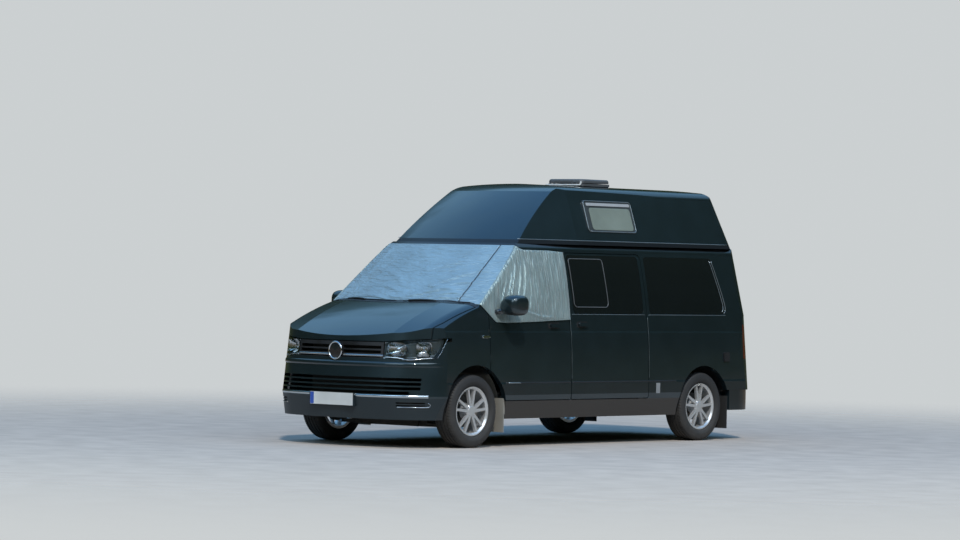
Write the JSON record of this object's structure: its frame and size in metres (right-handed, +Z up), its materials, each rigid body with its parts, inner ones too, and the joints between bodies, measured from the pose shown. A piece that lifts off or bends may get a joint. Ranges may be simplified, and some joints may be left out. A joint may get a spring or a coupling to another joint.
{
  "type": "high-roof camper van",
  "caption": "Long-wheelbase camper van with a moulded high roof, side windows, hinged front doors, tailgate and bonnet, and a quilted windscreen cover in place.",
  "frame": {"origin": "on the ground under the middle of the van", "axes": "+Z up, the front faces -Y, the van's left side is +X"},
  "size_m": [2.294, 5.304, 2.5079],
  "materials": {
    "paint": "dark slate metallic gloss",
    "tinted_glass": "dark tinted",
    "roof_acrylic": "pale grey-green, satin",
    "lid_plastic": "dark grey",
    "lamp_clear": "clear lens over chrome",
    "lamp_red": "red lens",
    "black_plastic": "grained",
    "plate": "blank",
    "tyre": "rubber",
    "alloy": "silver",
    "dark_steel": "painted",
    "dash_plastic": "soft grained",
    "seat_cloth": "woven",
    "furniture": "grey laminate",
    "mudflap_rubber": "dusty",
    "cover_cloth": "silvered quilt"
  },
  "bodies": {
    "body": {"side_wall_left": "paint", "side_wall_right": "paint", "roof_frame": "paint", "high_roof": "paint", "roof_side_windows": "roof_acrylic", "rooflight_frame": "lid_plastic", "sliding_door": "paint", "side_panel_right": "paint", "side_glass": "tinted_glass", "windscreen": "tinted_glass", "tail_lamps": "lamp_red", "headlamps": "lamp_clear", "front_grille": "black_plastic", "front_bumper": "paint", "front_wings": "paint", "scuttle": "black_plastic", "bulkhead": "paint", "floor_pan": "paint", "wheel_housings": "black_plastic", "rear_bumper": "paint", "front_plate": "plate", "front_axle": "dark_steel", "rear_axle": "dark_steel", "radiator": "dark_steel", "engine_block": "dark_steel", "exhaust": "dark_steel", "fuel_tank": "black_plastic", "dashboard": "dash_plastic", "steering_wheel": "dash_plastic", "front_seats": "seat_cloth", "camper_furniture": "furniture", "mains_inlet": "black_plastic", "mudflaps": "mudflap_rubber", "cover_centre": "cover_cloth", "wipers": "black_plastic"},
    "door_left": {"front_door_left": "paint", "front_door_glass_left": "tinted_glass", "door_mirror_left": "paint", "cover_flap_left": "cover_cloth"},
    "door_right": {"front_door_right": "paint", "front_door_glass_right": "tinted_glass", "door_mirror_right": "paint", "cover_flap_right": "cover_cloth"},
    "tailgate_body": {"tailgate": "paint", "tailgate_glass": "tinted_glass", "rear_plate": "plate"},
    "bonnet_body": {"bonnet": "paint"},
    "rooflight_body": {"rooflight_lid": "lid_plastic"},
    "steer_left_body": {"knuckle_left": "dark_steel"},
    "steer_right_body": {"knuckle_right": "dark_steel"},
    "wheel_front_left": {"tyre_front_left": "tyre", "rim_front_left": "alloy"},
    "wheel_front_right": {"tyre_front_right": "tyre", "rim_front_right": "alloy"},
    "wheel_rear_left": {"tyre_rear_left": "tyre", "rim_rear_left": "alloy"},
    "wheel_rear_right": {"tyre_rear_right": "tyre", "rim_rear_right": "alloy"}
  },
  "joints": [
    {"name": "steer_left", "type": "hinge", "parent": "body", "child": "steer_left_body", "pos_m": [0.665, -1.744, 0.34], "axis": [0, 0, 1], "range_deg": [-35, 35]},
    {"name": "steer_right", "type": "hinge", "parent": "body", "child": "steer_right_body", "pos_m": [-0.665, -1.744, 0.34], "axis": [0, 0, 1], "range_deg": [-35, 35]},
    {"name": "spin_front_left", "type": "hinge", "parent": "steer_left_body", "child": "wheel_front_left", "pos_m": [0.814, -1.744, 0.332], "axis": [1, 0, 0], "continuous": true},
    {"name": "spin_front_right", "type": "hinge", "parent": "steer_right_body", "child": "wheel_front_right", "pos_m": [-0.814, -1.744, 0.332], "axis": [1, 0, 0], "continuous": true},
    {"name": "spin_rear_left", "type": "hinge", "parent": "body", "child": "wheel_rear_left", "pos_m": [0.814, 1.656, 0.332], "axis": [1, 0, 0], "continuous": true},
    {"name": "spin_rear_right", "type": "hinge", "parent": "body", "child": "wheel_rear_right", "pos_m": [-0.814, 1.656, 0.332], "axis": [1, 0, 0], "continuous": true},
    {"name": "door_left_hinge", "type": "hinge", "parent": "body", "child": "door_left", "pos_m": [0.961, -1.552, 0.43], "axis": [0.0523, 0, -0.9986], "range_deg": [0, 65]},
    {"name": "door_right_hinge", "type": "hinge", "parent": "body", "child": "door_right", "pos_m": [-0.961, -1.552, 0.43], "axis": [0.0523, 0, 0.9986], "range_deg": [0, 65]},
    {"name": "tailgate_hinge", "type": "hinge", "parent": "body", "child": "tailgate_body", "pos_m": [0, 2.53, 1.804], "axis": [1, 0, 0], "range_deg": [0, 85]},
    {"name": "bonnet_hinge", "type": "hinge", "parent": "body", "child": "bonnet_body", "pos_m": [0, -1.716, 1.29], "axis": [-1, 0, 0], "range_deg": [0, 45]},
    {"name": "rooflight_hinge", "type": "hinge", "parent": "body", "child": "rooflight_body", "pos_m": [0, 0.596, 2.476], "axis": [1, 0, 0], "range_deg": [0, 40]}
  ],
  "couplings": [
    {"joint": "steer_right", "follows": "steer_left", "ratio": 1}
  ]
}
